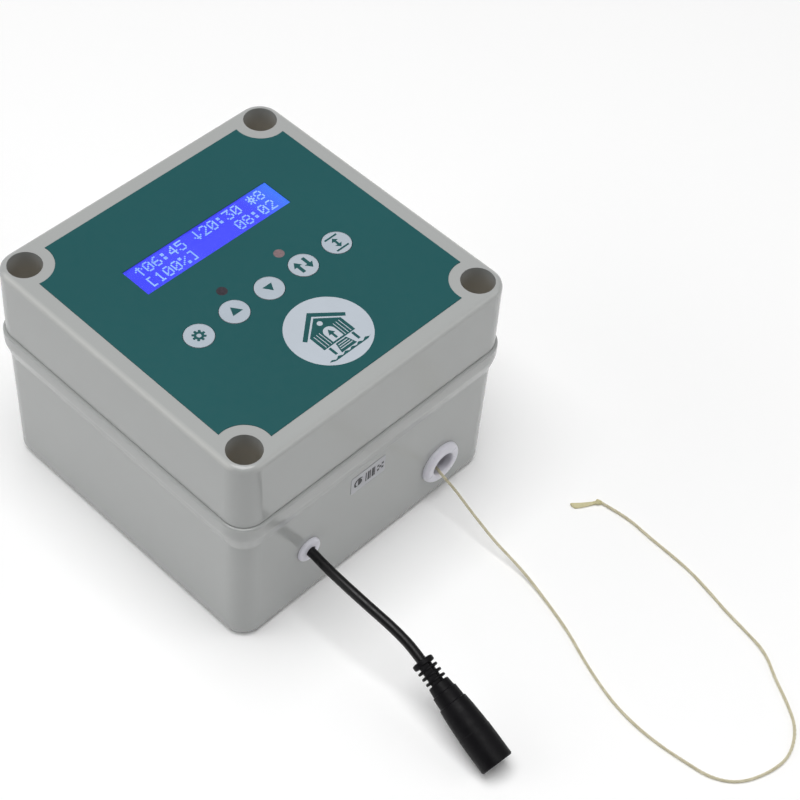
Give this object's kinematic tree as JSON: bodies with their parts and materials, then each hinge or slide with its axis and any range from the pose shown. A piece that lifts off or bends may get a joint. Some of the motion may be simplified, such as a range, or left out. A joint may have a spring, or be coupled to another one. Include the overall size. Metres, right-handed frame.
{
  "type": "automatic coop door drive",
  "caption": "Weatherproof box with a display, five keys and light sensor in its lid, and a geared winch inside that pulls a coop door's string; short power lead with inline socket.",
  "frame": {"origin": "centre of the back, level with its four fixing pads, which the box rests on", "axes": "+X along the display's text, +Y up on the display, +Z out of the display; the string and the power lead leave through the -Y wall"},
  "size_m": [0.1383, 0.2776, 0.0923],
  "materials": {
    "grey_abs": "semi-gloss moulded ABS with a fine grain",
    "seal_foam": "closed-cell seal cord",
    "grey_nylon": "moulded nylon",
    "printed_overlay": "satin printed polyester, deep teal",
    "clear_window": "clear polyester window",
    "tinted_window": "tinted translucent print",
    "led_red": "dark red diffused epoxy",
    "sensor_cream": "cream ceramic under clear epoxy",
    "bezel_black": "black painted steel",
    "lcd_blue": "lit blue display with pale dots",
    "board_green": "solder-masked glass epoxy",
    "black_nylon": "black moulded plastic",
    "zinc_steel": "zinc-plated steel",
    "bright_steel": "nickel-plated steel",
    "bright_aluminium": "bright aluminium can",
    "relay_blue": "blue moulded plastic",
    "brass": "turned brass",
    "ferrite": "ferrite",
    "white_plastic": "smooth white plastic",
    "white_nylon": "natural nylon",
    "wire_insulation": "PVC insulation",
    "braided_string": "pale beige braided cord",
    "lead_jacket": "satin black PVC",
    "sticker_film": "satin paper-faced label",
    "key_plastic": "pale grey keycap"
  },
  "bodies": {
    "housing": {"base_housing": "grey_abs", "bearing_bushes": "brass", "board_capacitor": "bright_aluminium", "board_screws": "zinc_steel", "bushing_nut": "white_plastic", "buzzer": "black_nylon", "cable_grommet": "white_plastic", "cable_tie": "black_nylon", "cell_holder": "black_nylon", "chassis_screws": "zinc_steel", "clock_cell": "bright_steel", "connector_body": "lead_jacket", "connector_contacts": "bright_steel", "control_board": "board_green", "front_overlay": "printed_overlay", "gear_plate": "zinc_steel", "gear_plate_screws": "zinc_steel", "indicator_windows": "tinted_window", "intermediate_axle": "zinc_steel", "key_switches": "black_nylon", "lcd_bezel": "bezel_black", "lcd_board": "board_green", "lcd_glass": "lcd_blue", "lcd_header": "black_nylon", "lcd_lens": "clear_window", "lid": "grey_abs", "lid_gasket": "seal_foam", "lid_screws": "grey_nylon", "light_sensor": "sensor_cream", "microcontroller": "black_nylon", "motor_can": "bright_steel", "motor_chassis": "zinc_steel", "motor_magnets": "ferrite", "motor_relays": "relay_blue", "motor_wires": "wire_insulation", "plate_pillars": "brass", "power_lead": "lead_jacket", "power_wires": "wire_insulation", "pull_string": "braided_string", "rating_sticker": "sticker_film", "screw_caps": "grey_abs", "status_led": "led_red", "string_bushing": "white_plastic", "string_inner_run": "braided_string", "string_knot": "braided_string", "terminal_blocks": "relay_blue"},
    "settings_key": {"key_settings": "key_plastic"},
    "up_key": {"key_up": "key_plastic"},
    "down_key": {"key_down": "key_plastic"},
    "run_key": {"key_run": "key_plastic"},
    "teach_key": {"key_teach": "key_plastic"},
    "winch": {"spool": "white_nylon", "wound_string": "braided_string", "spool_set_screw": "zinc_steel", "output_shaft": "zinc_steel", "output_gear": "white_nylon"},
    "cluster": {"cluster_gear": "white_nylon"},
    "rotor": {"motor_pinion": "brass", "motor_shaft": "zinc_steel", "armature": "bright_steel"}
  },
  "joints": [
    {"name": "settings_key_press", "type": "slide", "parent": "housing", "child": "settings_key", "axis": [0, 0, -1], "range_m": [0, 0.0005], "stiffness_N_per_m": 3000},
    {"name": "up_key_press", "type": "slide", "parent": "housing", "child": "up_key", "axis": [0, 0, -1], "range_m": [0, 0.0005], "stiffness_N_per_m": 3000},
    {"name": "down_key_press", "type": "slide", "parent": "housing", "child": "down_key", "axis": [0, 0, -1], "range_m": [0, 0.0005], "stiffness_N_per_m": 3000},
    {"name": "run_key_press", "type": "slide", "parent": "housing", "child": "run_key", "axis": [0, 0, -1], "range_m": [0, 0.0005], "stiffness_N_per_m": 3000},
    {"name": "teach_key_press", "type": "slide", "parent": "housing", "child": "teach_key", "axis": [0, 0, -1], "range_m": [0, 0.0005], "stiffness_N_per_m": 3000},
    {"name": "spool_turn", "type": "hinge", "parent": "housing", "child": "winch", "pos_m": [0.034, -0.03, 0.0283], "axis": [1, 0, 0], "continuous": true},
    {"name": "cluster_turn", "type": "hinge", "parent": "housing", "child": "cluster", "pos_m": [0.009, -0.006, 0.0283], "axis": [1, 0, 0], "continuous": true},
    {"name": "rotor_turn", "type": "hinge", "parent": "housing", "child": "rotor", "pos_m": [-0.02, 0.018, 0.0283], "axis": [1, 0, 0], "continuous": true}
  ],
  "couplings": [
    {"joint": "cluster_turn", "follows": "spool_turn", "ratio": -4},
    {"joint": "rotor_turn", "follows": "spool_turn", "ratio": 16}
  ]
}
